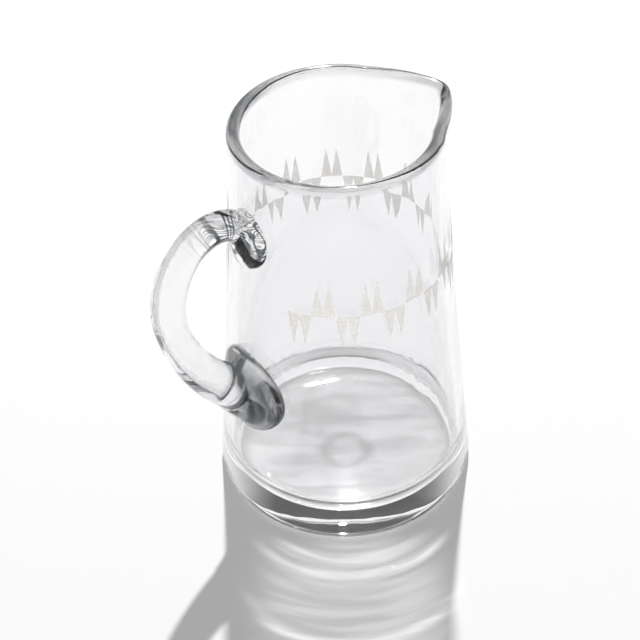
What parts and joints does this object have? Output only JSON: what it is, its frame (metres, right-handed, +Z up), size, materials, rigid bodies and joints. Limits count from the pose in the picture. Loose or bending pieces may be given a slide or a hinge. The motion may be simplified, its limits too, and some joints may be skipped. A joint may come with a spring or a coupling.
{
  "type": "mixing glass",
  "caption": "Tapered clear glass mixing jug with a pulled spout, a solid rod handle and a band of frosted teeth.",
  "frame": {"origin": "middle of the underside of the body, on the surface that the jug stands on", "axes": "+Z up along the body's axis, +X towards the spout, the handle on the -X side"},
  "size_m": [0.1511, 0.1188, 0.1929],
  "materials": {
    "body_glass": "clear, polished",
    "handle_glass": "clear, polished",
    "frosted_print": "frosted, warm light grey"
  },
  "bodies": {
    "root": {"jug_body": "body_glass", "handle_foot": "handle_glass", "handle_pad": "handle_glass", "handle_rod": "handle_glass", "frosted_teeth_01": "frosted_print", "frosted_teeth_02": "frosted_print", "frosted_teeth_03": "frosted_print", "frosted_teeth_04": "frosted_print", "frosted_teeth_05": "frosted_print", "frosted_teeth_06": "frosted_print", "frosted_teeth_07": "frosted_print", "frosted_teeth_08": "frosted_print", "frosted_teeth_09": "frosted_print", "frosted_teeth_10": "frosted_print", "frosted_teeth_11": "frosted_print", "frosted_teeth_12": "frosted_print", "frosted_teeth_13": "frosted_print", "frosted_teeth_14": "frosted_print", "frosted_teeth_15": "frosted_print", "frosted_teeth_16": "frosted_print", "frosted_teeth_17": "frosted_print", "frosted_teeth_18": "frosted_print", "frosted_teeth_19": "frosted_print", "frosted_teeth_20": "frosted_print", "frosted_teeth_21": "frosted_print", "frosted_teeth_22": "frosted_print", "frosted_teeth_23": "frosted_print", "frosted_teeth_24": "frosted_print", "frosted_teeth_25": "frosted_print"}
  },
  "joints": []
}
